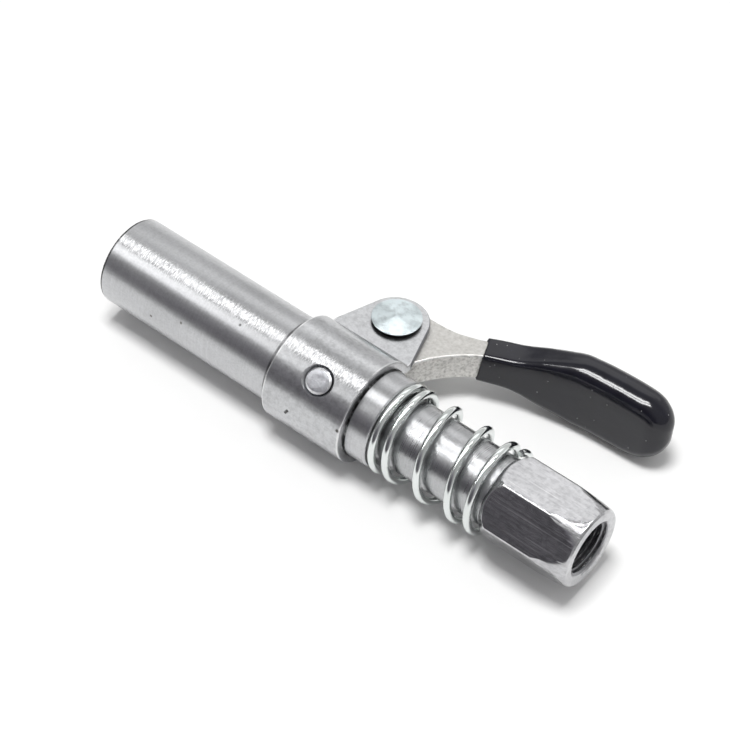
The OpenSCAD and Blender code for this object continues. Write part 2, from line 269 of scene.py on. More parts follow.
def slices(ob, axis, places):
    """Cuts the mesh along planes across an axis, so that it can bend there."""
    bm = bmesh.new()
    bm.from_mesh(ob.data)
    no = Vector((0, 0, 0))
    no[axis] = 1
    for p in places:
        co = Vector((0, 0, 0))
        co[axis] = p
        bmesh.ops.bisect_plane(bm, geom=bm.verts[:] + bm.edges[:] + bm.faces[:], plane_co=co, plane_no=no, dist=1e-5)
    bm.to_mesh(ob.data)
    bm.free()
    return ob


def remap(ob, fn, uv=None, angle=32.0):
    me = ob.data
    co = np.zeros(len(me.vertices) * 3)
    me.vertices.foreach_get("co", co)
    co = co.reshape(-1, 3)
    if uv is not None:
        layer = me.uv_layers.get("UVMap") or me.uv_layers.new(name="UVMap")
        idx = np.zeros(len(me.loops), np.int32)
        me.loops.foreach_get("vertex_index", idx)
        layer.data.foreach_set("uv", uv(co)[idx].astype(np.float32).ravel())
    me.vertices.foreach_set("co", fn(co).astype(np.float32).ravel())
    me.update()
    smoothed(me, angle)
    return ob


def even_normals(ob):
    m = ob.modifiers.new("normals", "WEIGHTED_NORMAL")
    m.mode, m.weight, m.keep_sharp = "FACE_AREA", 50, True
    return ob


# ------------------------------------------------------------------ materials
class Mat:
    """A small helper for procedural materials; coordinates are the piece's own, in metres."""

    def __init__(self, name):
        self.m = bpy.data.materials.new(name)
        self.m.use_nodes = True
        self.t = self.m.node_tree
        self.b = self.t.nodes["Principled BSDF"]
        self.tc = self.t.nodes.new("ShaderNodeTexCoord")
        self.bump_out = None

    def new(self, kind, **inputs):
        n = self.t.nodes.new(kind)
        for k, v in inputs.items():
            self.put(n, k, v)
        return n

    def put(self, n, key, v):
        s = n.inputs[int(key[1:])] if key[0] == "_" and key[1:].isdigit() else n.inputs[key.replace("_", " ")]
        if isinstance(v, bpy.types.NodeSocket):
            self.t.links.new(v, s)
        else:
            s.default_value = v

    def set(self, **kw):
        for k, v in kw.items():
            self.put(self.b, k, v)

    def coords(self, scale):
        n = self.new("ShaderNodeMapping", Vector=self.tc.outputs["Object"])
        n.inputs["Scale"].default_value = scale if hasattr(scale, "__len__") else (scale,) * 3
        return n.outputs["Vector"]

    def noise(self, scale, detail=3.0, rough=0.55, distort=0.0):
        n = self.new("ShaderNodeTexNoise", Vector=self.coords(scale))
        n.inputs["Scale"].default_value = 1.0
        n.inputs["Detail"].default_value = detail
        n.inputs["Roughness"].default_value = rough
        n.inputs["Distortion"].default_value = distort
        return n.outputs["Fac"]

    def ramp(self, fac, *stops, interp="LINEAR"):
        n = self.new("ShaderNodeValToRGB", Fac=fac)
        n.color_ramp.interpolation = interp
        e = n.color_ramp.elements
        while len(e) < len(stops):
            e.new(0.5)
        for x, (p, c) in zip(e, stops):
            x.position = p
            x.color = (c, c, c, 1) if not hasattr(c, "__len__") else (*c, 1)
        return n.outputs["Color"]

    def span(self, fac, f0, f1, t0, t1):
        n = self.new("ShaderNodeMapRange", Value=fac)
        for k, v in (("From Min", f0), ("From Max", f1), ("To Min", t0), ("To Max", t1)):
            n.inputs[k].default_value = v
        return n.outputs["Result"]

    def math(self, op, a, b=None):
        n = self.new("ShaderNodeMath")
        n.operation = op
        self.put(n, "_0", a)
        if b is not None:
            self.put(n, "_1", b)
        return n.outputs[0]

    def mix(self, fac, a, b, mode="MIX"):
        n = self.new("ShaderNodeMixRGB")
        n.blend_type = mode
        self.put(n, "Fac", fac)
        for k, v in (("Color1", a), ("Color2", b)):
            self.put(n, k, v if isinstance(v, bpy.types.NodeSocket) else (*v, 1) if len(v) == 3 else v)
        return n.outputs["Color"]

    def spots(self, scale, size, share, soft=0.35):
        """Sparse round spots: 1 in a spot and 0 elsewhere."""
        v = self.new("ShaderNodeTexVoronoi", Vector=self.coords(scale))
        v.inputs["Scale"].default_value = 1.0
        near = self.span(v.outputs["Distance"], size * (1 - soft), size, 1.0, 0.0)
        s = self.new("ShaderNodeSeparateColor", Color=v.outputs["Color"])
        some = self.math("LESS_THAN", s.outputs[0], share)
        return self.math("MULTIPLY", near, some)

    def bump(self, height, strength, distance):
        n = self.new("ShaderNodeBump", Height=height)
        n.inputs["Strength"].default_value = 1.0
        n.inputs["Distance"].default_value = distance * strength
        if self.bump_out is not None:
            self.t.links.new(self.bump_out, n.inputs["Normal"])
        self.bump_out = n.outputs["Normal"]
        self.t.links.new(self.bump_out, self.b.inputs["Normal"])

    def along_uv(self, amount):
        """Brushed gloss, spread along the mesh's u direction."""
        n = self.new("ShaderNodeTangent")
        n.direction_type = "UV_MAP"
        n.uv_map = "UVMap"
        self.t.links.new(n.outputs["Tangent"], self.b.inputs["Tangent"])
        self.b.inputs["Anisotropic"].default_value = amount

    def around(self, centre, half, soft):
        """1 on a stripe along the barrel, given by its angle about the axis in degrees, fading to 0 at its sides."""
        n = self.new("ShaderNodeSeparateXYZ", Vector=self.tc.outputs["Object"])
        a = self.math("ARCTAN2", n.outputs["Z"], n.outputs["Y"])
        d = self.math("ABSOLUTE", self.math("SUBTRACT", a, math.radians(centre)))
        return self.span(d, math.radians(half), math.radians(half + soft), 1.0, 0.0)

    def mark(self, at, radius, soft=0.5):
        """1 inside a small ball about a point of the coupler's millimetres, 0 outside."""
        p = place([at])[0]
        n = self.new("ShaderNodeVectorMath", _0=self.tc.outputs["Object"])
        n.operation = "DISTANCE"
        n.inputs[1].default_value = tuple(p)
        return self.span(n.outputs["Value"], radius * (1 - soft) / 1000, radius / 1000, 1.0, 0.0)


def turned_steel(name, tint, rough, aniso=0.6, ring=1.0, grain=1.0, pits=0.0, ring_pitch=2600, highlight_flecks=0.0, wave=0.0, marks=(), rims=(), mottle=0.0):
    """Satin steel with fine turning rings. A fibrous stripe of dark and light flecks can be painted along the top,
    where the overhead highlight falls: a painted highlight sparkle, with a matching bump.
    wave adds a slight unevenness, mottle a blotchy plating, the lines round the barrel are painted (dark ones painted
    shade, light ones painted highlights) and marks are single dirt specks."""
    m = Mat(name)
    rings = m.noise((ring_pitch, 26, 26), 4, 0.62)
    fine = m.noise((900, 1700, 1700), 2, 0.5)
    blotch = m.noise((90, 140, 140), 3, 0.55)
    speck = m.noise((2500, 3000, 3000), 1, 0.6)
    c = m.ramp(blotch, (0.25, tuple(0.90 * t for t in tint)), (0.5, tint), (0.78, tuple(min(1, 1.06 * t) for t in tint)))
    c = m.mix(0.17 * ring, c, m.ramp(rings, (0.3, 0.35), (0.62, 1.0)), "MULTIPLY")
    c = m.mix(0.24 * min(1.0, grain), c, m.ramp(speck, (0.30, 0.45), (0.62, 1.0)), "MULTIPLY")
    if mottle:
        c = m.mix(mottle, c, m.ramp(m.noise(1000, 4, 0.7), (0.36, 0.40), (0.56, 1.0)), "MULTIPLY")
    # painted highlight: dark and light flecks on a stripe at the angle where the overhead highlight falls, with a
    # matching bump below
    if highlight_flecks:
        fibre = m.noise((8200, 1500, 1500), 2, 0.6)
        stripe = m.math("MULTIPLY", m.around(106, 6, 6), m.span(m.noise((170, 420, 420), 2, 0.6), 0.30, 0.50, 0.45, 1.0))
        along = m.new("ShaderNodeSeparateXYZ", Vector=m.tc.outputs["Object"])
        stripe = m.math("MULTIPLY", stripe, m.math("LESS_THAN", along.outputs["X"], (54.1 - X0) / 1000))
        c = m.mix(m.math("MULTIPLY", stripe, m.span(fibre, 0.50, 0.38, 0.0, 0.75 * highlight_flecks)), c, (0.22, 0.22, 0.225))
        c = m.mix(m.math("MULTIPLY", stripe, m.span(fibre, 0.52, 0.62, 0.0, 0.80 * highlight_flecks)), c, (0.92, 0.92, 0.92))
    if pits:
        c = m.mix(m.spots(230, 0.045, pits), c, (0.12, 0.11, 0.10))
    # the lines round the barrel are painted: dark ones are painted shade, light ones painted highlights
    for at, half, amount, least, dark in rims:
        n = m.new("ShaderNodeSeparateXYZ", Vector=m.tc.outputs["Object"])
        d = m.math("ABSOLUTE", m.math("SUBTRACT", n.outputs["X"], (at - X0) / 1000))
        lumpy = m.span(m.noise(520, 3, 0.65), 0.38, 0.52, least * amount, amount)
        c = m.mix(m.math("MULTIPLY", m.span(d, half * 0.55 / 1000, half / 1000, 1.0, 0.0), lumpy), c, (dark,) * 3)
    for at, radius, dark in marks:
        c = m.mix(m.math("MULTIPLY", m.mark(at, radius), m.span(m.noise(2600, 2), 0.32, 0.5, 0.75, 1.0)), c, dark)
    m.set(Base_Color=c, Metallic=1.0, Roughness=m.math("ADD", m.span(rings, 0.3, 0.7, rough[0], rough[1]), m.span(blotch, 0.3, 0.7, -0.02, 0.02)))
    m.bump(rings, 0.30 * ring, 0.00002)
    m.bump(fine, 0.45 * grain, 0.00002)
    if wave:
        m.bump(m.noise((420, 620, 620), 3, 0.55), wave, 0.00008)
    if highlight_flecks:
        m.bump(m.math("MULTIPLY", fibre, stripe), highlight_flecks, 0.00003)
    else:
        m.bump(speck, 0.3 * grain, 0.00001)
    if aniso:
        m.along_uv(aniso)
    return m


def bright_zinc(name, tint, rough=(0.10, 0.17), wave=1.0, coord=(500, 500, 500), aniso=0.0, painted_shade_height=0.0):
    """Bright plating. On the upper half of the rivet, below a given height along its axis in millimetres, it is painted
    near black: painted shade under the rim of the head.
    """
    m = Mat(name)
    n = m.noise(coord, 3, 0.55)
    big = m.noise(150, 2, 0.5)
    c = m.ramp(big, (0.3, tuple(0.9 * t for t in tint)), (0.7, tint))
    if painted_shade_height:
        c = m.mix(0.36, c, m.ramp(m.noise((620, 760, 760), 4, 0.65), (0.38, 0.40), (0.55, 1.0)), "MULTIPLY")
        # painted shade: near black below that height on the upper head's side and underside
        up = m.new("ShaderNodeVectorMath", _0=m.tc.outputs["Object"])
        up.operation = "DOT_PRODUCT"
        up.inputs[1].default_value = (0, SR, CR)
        low = m.math("MULTIPLY", m.span(up.outputs["Value"], (painted_shade_height - 0.05) / 1000, (painted_shade_height + 0.05) / 1000, 1.0, 0.0), m.math("GREATER_THAN", up.outputs["Value"], 0.0))
        c = m.mix(low, c, (0.012, 0.012, 0.013))
    m.set(Base_Color=c, Metallic=1.0, Roughness=m.span(n, 0.3, 0.7, *rough))
    m.bump(n, 0.25 * wave, 0.00003)
    if aniso:
        m.along_uv(aniso)
    return m


def rubber(name, tint=0.022):
    m = Mat(name)
    n = m.noise(1400, 3, 0.6)
    big = m.noise(120, 2, 0.5)
    c = m.ramp(big, (0.3, tint * 0.7), (0.7, tint * 1.3))
    m.set(Base_Color=c, Metallic=0.0, Roughness=m.span(n, 0.3, 0.7, 0.42, 0.62))
    m.bump(n, 0.15, 0.00002)
    return m


# the sleeve: a painted highlight stripe on top; painted shade lines at its front rim and just before the collar's front
# edge, and a dark irregular line just past the collar's back edge
sleeve_mat = turned_steel("sleeve_steel_turned", (0.57, 0.575, 0.587), (0.295, 0.335), 0.55, 0.8, 0.8, pits=0.12, highlight_flecks=1.0, mottle=0.10, marks=(
    ((11.95, -8.0, 0.14), 0.34, (0.16, 0.15, 0.14)), ((18.4, -7.60, 2.51), 0.32, (0.20, 0.19, 0.18)), ((28.7, -4.47, 6.63), 0.30, (0.12, 0.12, 0.12))),
    rims=((0.27, 0.31, 0.94, 0.8, 0.03), (54.16, 0.30, 1.0, 0.55, 0.02), (36.98, 0.34, 0.75, 0.6, 0.06)))
# the collar: a painted highlight stripe on top, and light lines along its front and back edges as painted highlights
collar_mat = turned_steel("collar_steel_satin", (0.585, 0.591, 0.603), (0.285, 0.325), 0.55, 0.5, 0.8, pits=0.10, ring_pitch=1500, highlight_flecks=1.0, wave=0.35, mottle=0.30, marks=(
    ((42.98, -9.49, -0.28), 0.34, (0.02, 0.018, 0.015)), ((43.2, -9.49, 0.08), 0.36, (0.02, 0.018, 0.015)), ((43.42, -9.48, 0.44), 0.34, (0.02, 0.018, 0.015)),
    ((53.5, -9.11, 2.66), 0.40, (0.10, 0.095, 0.09))),
    rims=((37.98, 0.20, 0.55, 0.4, 0.95), (53.84, 0.18, 0.5, 0.4, 0.95)))
barrel_mat = turned_steel("barrel_steel_turned", (0.50, 0.505, 0.515), (0.25, 0.32), 0.45, 0.9, 0.8, ring_pitch=3000, wave=0.45)
pin_mat = turned_steel("pin_steel_faced", (0.45, 0.455, 0.48), (0.30, 0.40), 0.0, 0.4, 2.0, wave=0.8, mottle=0.30)
# a brighter copy of the pin steel for the pins' bevels: a painted highlight, on top of the bevel's real reflection
pin_rim_highlight_mat = turned_steel("pin_rim_bright", (0.84, 0.845, 0.86), (0.26, 0.34), 0.0, 0.3, 1.6)
cut_mat = turned_steel("collar_cut_edge", (0.26, 0.265, 0.285), (0.42, 0.54), 0.0, 0.3, 1.6, mottle=0.35)
# a darker copy of the steel for inside the inlet's bore: painted shade in the hole
bore_shade_mat = turned_steel("inlet_bore_steel", (0.30, 0.30, 0.315), (0.28, 0.40), 0.0, 0.6, 1.0)
jaw_mat = turned_steel("jaw_steel_ground", (0.33, 0.33, 0.335), (0.30, 0.40), 0.4, 1.0, 0.8)
rivet_mat = bright_zinc("rivet_zinc", (0.73, 0.81, 0.83), (0.32, 0.38), 1.0, (500, 500, 500), 0.92, 4.90)
spring_mat = bright_zinc("spring_zinc_wire", (0.78, 0.81, 0.80), (0.10, 0.16), 0.8)
ball_mat = bright_zinc("ball_polished", (0.80, 0.80, 0.81), (0.05, 0.09), 0.3)
washer_mat = turned_steel("washer_copper", (0.70, 0.36, 0.22), (0.28, 0.38), 0.3, 0.8, 0.8)
brass_mat = turned_steel("piston_brass_turned", (0.72, 0.52, 0.22), (0.22, 0.32), 0.4, 1.2, 0.5)
rubber_mat = rubber("seal_rubber_black")


def hex_material():
    m = Mat("hex_nickel")
    fine = m.noise((900, 1600, 1600), 4, 0.6)
    scratch = m.noise((60, 4600, 4600), 2, 0.6, 0.2)
    cross = m.noise((3600, 200, 200), 3, 0.6, 0.4)
    blotch = m.noise(220, 3, 0.55)
    tint = (0.595, 0.595, 0.61)
    c = m.ramp(blotch, (0.28, tuple(0.86 * t for t in tint)), (0.55, tint), (0.8, tuple(1.08 * t for t in tint)))
    c = m.mix(0.16, c, m.ramp(scratch, (0.36, 0.35), (0.55, 1.0)), "MULTIPLY")
    c = m.mix(0.08, c, m.ramp(cross, (0.34, 0.45), (0.6, 1.0)), "MULTIPLY")
    c = m.mix(0.34, c, m.ramp(fine, (0.36, 0.42), (0.56, 1.0)), "MULTIPLY")
    c = m.mix(m.span(scratch, 0.66, 0.72, 0.0, 0.5), c, (0.95, 0.95, 0.95))
    m.set(Base_Color=c, Metallic=1.0, Roughness=m.span(scratch, 0.3, 0.72, 0.15, 0.26))
    m.bump(scratch, 0.35, 0.00001)
    m.bump(cross, 0.30, 0.00001)
    m.bump(fine, 0.35, 0.00002)
    return m


def lever_material():
    m = Mat("lever_cast")
    grit = m.noise(3200, 2, 0.6)
    grain = m.noise(1700, 3, 0.6)
    blotch = m.noise(140, 3, 0.5)
    face = m.ramp(grain, (0.28, (0.46, 0.45, 0.43)), (0.5, (0.55, 0.54, 0.52)), (0.74, (0.64, 0.63, 0.615)))
    painted_lit_flank = m.ramp(grain, (0.30, (0.50, 0.485, 0.46)), (0.5, (0.81, 0.795, 0.77)), (0.68, (0.97, 0.955, 0.93)))
    # painted light: the side faces are painted much lighter than the flat faces, chosen by the direction of the surface
    up = m.new("ShaderNodeVectorMath", _0=m.tc.outputs["Normal"])
    up.operation = "DOT_PRODUCT"
    up.inputs[1].default_value = (0, SR, CR)
    c = m.mix(m.span(m.math("ABSOLUTE", up.outputs["Value"]), 0.55, 0.85, 0.0, 1.0), painted_lit_flank, face)
    c = m.mix(0.30, c, m.ramp(blotch, (0.3, (0.84, 0.83, 0.80)), (0.7, (1.0, 1.0, 1.0))), "MULTIPLY")
    c = m.mix(m.spots(620, 0.14, 0.08), c, (0.92, 0.92, 0.90))
    c = m.mix(m.spots(640, 0.13, 0.16), c, (0.20, 0.185, 0.17))
    m.set(Base_Color=c, Metallic=0.45, Roughness=m.span(grit, 0.3, 0.7, 0.48, 0.64))
    m.bump(grain, 0.8, 0.00004)
    m.bump(grit, 0.8, 0.00002)
    return m


def grip_material():
    m = Mat("grip_vinyl")
    skin = m.noise(300, 2, 0.5)
    fine = m.noise(2600, 2, 0.5)
    dust = m.spots(640, 0.085, 0.55)
    lint = m.spots((900, 360, 700), 0.05, 0.07)
    c = m.ramp(skin, (0.3, (0.0060, 0.0060, 0.0105)), (0.7, (0.0095, 0.0095, 0.0160)))
    c = m.mix(dust, c, (0.26, 0.26, 0.26))
    c = m.mix(lint, c, (0.18, 0.175, 0.17))
    m.set(Base_Color=c, Metallic=0.0, Roughness=m.math("ADD", m.span(skin, 0.3, 0.7, 0.12, 0.17), m.math("MULTIPLY", dust, 0.4)))
    m.b.inputs["IOR"].default_value = 1.47
    m.bump(skin, 0.6, 0.00010)
    m.bump(fine, 0.25, 0.00001)
    return m


def edge_material():
    """The lever's rubbed edges, brighter than its cast faces."""
    m = Mat("lever_rubbed_edge")
    n = m.noise((500, 900, 900), 3, 0.6)
    c = m.ramp(n, (0.36, (0.55, 0.54, 0.52)), (0.52, (0.84, 0.83, 0.81)))
    m.set(Base_Color=c, Metallic=0.8, Roughness=m.span(n, 0.3, 0.7, 0.42, 0.26))
    m.bump(m.noise(1700, 3, 0.6), 0.5, 0.00004)
    return m


hex_mat, lever_mat, grip_mat, edge_mat = hex_material(), lever_material(), grip_material(), edge_material()


def finish_piece(ob, body, mat, slot, *nodes):
    ob.data.materials.clear()
    ob.data.materials.append(mat.m)
    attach(ob, body)
    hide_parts(*nodes)
    return ob


# ------------------------------------------------------------------ sleeve
TL, SLV, R_S, R_B = 97.5, 58.4, 8.0, 6.25
tube = revolve("sleeve_tube", [
    (0.0, 7.05, 0.10), (0.0, R_S, 0.50), (SLV - 0.25, R_S, 0.15), (SLV, R_S - 0.25, 0.10),
    (SLV, R_B + 0.2, 0.08), (SLV - 0.2, R_B, 0.05), (4.0, R_B, 0.6)], 224)
P_X, P_Y = 45.85, 15.8
slot_tool = plate("slot_tool", [(P_X - 3.5, -2.8), (P_X + 6.8, -2.8), (P_X + 6.8, 2.8), (P_X - 3.5, 2.8)], 3.0, 11.0, 0.05, 1)
remap(slot_tool, lambda p: np.c_[p[:, 0], p[:, 2], -p[:, 1]])
cut(tube, slot_tool)
sleeve = settle(tube)
finish_piece(sleeve, "sleeve", sleeve_mat, "sleeve_steel", "outer_sleeve")

# ------------------------------------------------------------------ collar: a sheet blank bent round the sleeve
T_S, C_RM = 1.46, 8.03 + 0.73
CX0, CX1 = 37.8, 54.0
EAR_M = 2.8 + T_S / 2
B_N = 0.7
B_C = (math.sqrt((9.49 + B_N) ** 2 - (4.26 + B_N) ** 2), 4.26 + B_N)
B_A = math.atan2(B_C[1], B_C[0])
B_R = B_N + T_S / 2
S1 = C_RM * (math.pi - B_A)
S2 = S1 + B_R * (math.pi / 2 - B_A)
EAR_R, FOOT = 5.65, 9.4


def strap(p):
    """Blank (s, x, height) to the coupler's frame."""
    s, x, n = np.abs(p[:, 0]), p[:, 1], p[:, 2]
    sg = np.where(p[:, 0] < 0, -1.0, 1.0)
    a = math.pi - s / C_RM
    y0, z0 = (C_RM + n) * np.cos(a), (C_RM + n) * np.sin(a)
    b = math.pi + B_A + (s - S1) / B_R
    y1, z1 = B_C[0] + (B_R - n) * np.cos(b), B_C[1] + (B_R - n) * np.sin(b)
    y2, z2 = B_C[0] + (s - S2), EAR_M + n
    y = np.where(s < S1, y0, np.where(s < S2, y1, y2))
    z = np.where(s < S1, z0, np.where(s < S2, z1, z2))
    return np.c_[x, y, z * sg]


def ear_side():
    sp = S2 + (P_Y - B_C[0])
    foot = S2 + (FOOT - B_C[0])
    v = np.array([foot - sp, CX0 - P_X])
    d = np.linalg.norm(v)
    t = math.atan2(v[1], v[0]) + math.acos(EAR_R / d)
    first = (sp + EAR_R * math.cos(t), P_X + EAR_R * math.sin(t))
    v = np.array([foot - sp, CX1 - P_X])
    t1 = math.atan2(v[1], v[0]) - math.acos(EAR_R / np.linalg.norm(v))
    a0, a1 = t, t1
    while a1 < a0:
        a1 += 2 * math.pi
    top = [(sp + EAR_R * math.cos(a), P_X + EAR_R * math.sin(a)) for a in np.linspace(a0, a1, 60)]
    return [(foot, CX0, 1.2)] + [(*p, 0) for p in top] + [(foot, CX1, 0.7)]


right = ear_side()
blank = right + [(-p[0], *p[1:]) for p in right[::-1]]
collar = plate("clevis_collar_sheet", fillet(blank, 6), -T_S / 2, T_S / 2, 0.22, 4)
PIN_S, PIN_X = C_RM * math.radians(50), CX0 + 8.9
tools = []
for sgn in (1, -1):
    # the pin's hole with a small countersink on its outer edge, and the rivet's hole
    prof = [(-2.0, 0.0), (-2.0, 2.42), (0.20, 2.42, 0.1), (0.73, 2.70, 0.05), (0.80, 2.76), (2.0, 2.76), (2.0, 0.0)]
    h = revolve("hole_tool_%d" % (sgn + 1), prof, 96)
    remap(h, lambda p, s=sgn: np.c_[p[:, 1] * (1 - 0.075 * np.clip(p[:, 0] * 2, 0, 1)) + s * PIN_S, p[:, 2] * (1 + 0.10 * np.clip(p[:, 0] * 2, 0, 1)) + PIN_X, p[:, 0]])
    g = revolve("rivet_tool_%d" % (sgn + 1), [(-2.0, 0.0), (-2.0, 2.5), (2.0, 2.5), (2.0, 0.0)], 72)
    remap(g, lambda p, s=sgn: np.c_[p[:, 1] + s * (S2 + P_Y - B_C[0]), p[:, 2] + P_X, p[:, 0]])
    tools += [h, g]
cut(collar, *tools)
rows = list(np.linspace(-S1, S1, 260)) + [s * (S1 + (S2 - S1) * k / 16) for k in range(1, 17) for s in (1, -1)]
slices(collar, 0, sorted(rows))
sheared = [p.index for p in collar.data.polygons if abs(p.normal.z) < 0.9 and abs(p.center.x) > S2 + 0.4]
remap(collar, strap, uv=lambda p: np.c_[p[:, 1], p[:, 0]] / 20)
finish_piece(even_normals(settle(collar)), "sleeve", collar_mat, "collar_steel", "clevis_collar")
collar.data.materials.append(cut_mat.m)
for i in sheared:
    collar.data.polygons[i].material_index = 1

# ------------------------------------------------------------------ collar pins
pins = []


def thin(q):
    return 1 - 0.06 * np.clip(q[:, 0] * 2.5 - 22.3, 0, 1)


for k, sgn in enumerate((1, -1)):
    prof = [(6.55, 0.0), (6.55, 2.38), (8.60, 2.38, 0.05), (8.90, 2.30, 0.10), (9.17, 2.25, 0.05), (9.38, 1.93, 0.05), (9.42, 1.2, 0.3), (9.43, 0.0)]
    p = revolve("collar_pin_%d" % (k + 1), prof, 96)
    a = math.radians(sgn * 130)
    bevel = [f.index for f in p.data.polygons if f.center.x > 9.1 and math.hypot(f.center.y, f.center.z) > 1.93]
    # the pin's axis turns from x to the radial direction
    remap(p, lambda q, a=a: np.c_[q[:, 1] * (1 + 0.085 * np.clip(q[:, 0] * 2.5 - 22.3, 0, 1)) + PIN_X, q[:, 0] * math.cos(a) - q[:, 2] * thin(q) * math.sin(a), q[:, 0] * math.sin(a) + q[:, 2] * thin(q) * math.cos(a)])
    settle(p)
    finish_piece(p, "sleeve", pin_mat, "pin_steel", "collar_pins")
    # painted highlight: the bevel gets the brighter steel
    p.data.materials.append(pin_rim_highlight_mat.m)
    for i in bevel:
        p.data.polygons[i].material_index = 1
    pins.append(p)

# ------------------------------------------------------------------ rivet
EH = 4.26
prof = [(-EH - 0.86, 0.0), (-EH - 0.80, 1.6, 1.0), (-EH - 0.36, 3.85, 0.25), (-EH - 0.12, 4.05, 0.1), (-EH - 0.01, 4.0, 0.03), (-EH - 0.01, 2.49),
        (EH + 0.01, 2.49), (EH + 0.01, 3.90, 0.03), (EH + 0.12, 4.02, 0.06), (EH + 0.62, 4.33, 0.06), (EH + 0.78, 4.34, 0.08), (EH + 1.30, 0.35, 0.3), (EH + 1.34, 0.0)]
rivet = revolve("pivot_rivet_set", prof, 144, 6)
remap(rivet, lambda q: np.c_[P_X + q[:, 1], P_Y + q[:, 2], q[:, 0]], uv=None)
finish_piece(settle(rivet), "sleeve", rivet_mat, "zinc_bright", "pivot_rivet")

# ------------------------------------------------------------------ lever
L_T, TOE_C, TOE_R = 2.7, (P_X + 3.07, P_Y - 9.73), 1.3
blade_out = [(45.9, 21.2), (48.3, 21.4), (50.8, 21.45), (53, 21.6), (54.8, 21.95), (56.5, 22.5), (58.1, 23.1), (59.6, 23.9), (62.5, 25.3),
             (66, 26.5), (69.5, 27.5), (73, 28.5), (76, 29.2), (80, 29.7), (85, 29.9), (88.5, 29.8), (90.6, 29.3), (91.9, 28.6), (92.3, 27.85)]
blade_in = [(53.3, 11.1), (53.9, 12.1), (54.8, 13.6), (55.8, 15.1), (56.9, 16.45), (58, 17.6), (59.3, 18.75), (61.4, 20.3), (65.5, 21.95),
            (70, 23.4), (75, 24.8), (80, 25.5), (85, 25.75), (88.5, 25.85), (90.6, 26.3), (91.9, 27.1), (92.3, 27.85)]
P_H = 7.03
blade_z = [(61, L_T), (65.5, 2.8), (70.4, P_H - 3.1), (75.3, P_H - 1.95), (78, P_H - 1.85), (84.5, P_H - 1.85), (88, P_H - 2.05), (90, P_H - 2.85), (91.5, P_H - 3.95), (92.4, P_H - 5.05)]
toe_back = (TOE_C[0] - TOE_R, TOE_C[1] + 1.6)
dx, dy = toe_back[0] - P_X, toe_back[1] - P_Y
T_F = math.degrees(math.atan2(dy, dx)) - math.degrees(math.acos(5.4 / math.hypot(dx, dy)))
side = [toe_back] + arc(TOE_C, TOE_R, -180, -20, 16) + [tuple(p) for p in even(curve(blade_in, 8), 0.7)] + \
    [tuple(p) for p in even(curve(blade_out, 8), 0.7)[::-1]][1:] + arc((P_X, P_Y), 5.4, 90, T_F + 360, 40)[1:]
lever = plate("lever_casting", side, -L_T, L_T, 0.5, 4)
bore = revolve("bore_tool", [(-12, 0.0), (-12, 2.55), (12, 2.55), (12, 0.0)], 72)
remap(bore, lambda q: np.c_[P_X + q[:, 1], P_Y + q[:, 2], q[:, 0]])
cut(lever, bore)
slices(lever, 0, np.arange(47.0, 94.5, 1.0))
flare = np.array(curve(blade_z, 8))


def flared(p):
    k = np.interp(p[:, 0], flare[:, 0], flare[:, 1], left=L_T) / L_T
    return np.c_[p[:, 0], p[:, 1], p[:, 2] * k]


remap(lever, flared, uv=lambda p: p[:, :2] / 20)
rim = [p.index for p in lever.data.polygons if 0.22 < abs(p.normal.z) < 0.96]
finish_piece(even_normals(settle(lever)), "lever", lever_mat, "cast_lever", "lever")
lever.data.materials.append(edge_mat.m)
for i in rim:
    lever.data.polygons[i].material_index = 1

# ------------------------------------------------------------------ dipped grip
skin_out = [(59.35, 24.35), (62.3, 25.78), (65.9, 27.0), (69.4, 28.15), (72.9, 29.35), (75.9, 30.2), (80, 30.75), (85, 31.0), (89, 30.9), (93, 30.5)]
skin_in = [(61.5, 19.85), (65.6, 21.45), (70.1, 22.75), (75.1, 23.85), (80, 24.45), (85, 24.7), (89, 24.8), (93, 24.9)]
skin_z = [(59, 3.15), (61, 3.15), (65.5, 3.55), (70.4, 5.2), (75.3, 6.7), (78, 7.0), (84.5, P_H), (89, P_H), (100, P_H)]
skin_r = [(59, 0.70), (62, 0.78), (66, 0.95), (70, 1.4), (74, 2.2), (78, 2.75), (100, 2.8)]
TIP, N_D, N_UP, N_DOWN = 93.88, 3.6, 5.4, 8.6


def section(c, e, d, up, down, rc, k=10, flat=4):
    """One rounded section: half thickness d along e in the lever's plane, half heights up and down along z."""
    pts = []
    for q in range(4):
        sx, sz = [(1, 1), (-1, 1), (-1, -1), (1, -1)][q]
        w = up if sz > 0 else down
        r = min(rc, d * 0.985, w * 0.985)
        for i in range(k + 1):
            a = math.radians(90 * q + 90 * i / k)
            pts.append((sx * (d - r) + r * math.cos(a), sz * (w - r) + r * math.sin(a)))
    out = []
    for i, p in enumerate(pts):
        out.append(p)
        if i % (k + 1) == k:
            nx = pts[(i + 1) % len(pts)]
            out += [(p[0] + (nx[0] - p[0]) * j / flat, p[1] + (nx[1] - p[1]) * j / flat) for j in range(1, flat)]
    return [(c[0] + e[0] * a, c[1] + e[1] * a, z) for a, z in out]


def spread(P, k):
    s = np.r_[0, np.cumsum(np.linalg.norm(np.diff(P, axis=0), axis=1))]
    t = np.linspace(0, s[-1], k)
    return np.c_[np.interp(t, s, P[:, 0]), np.interp(t, s, P[:, 1])]


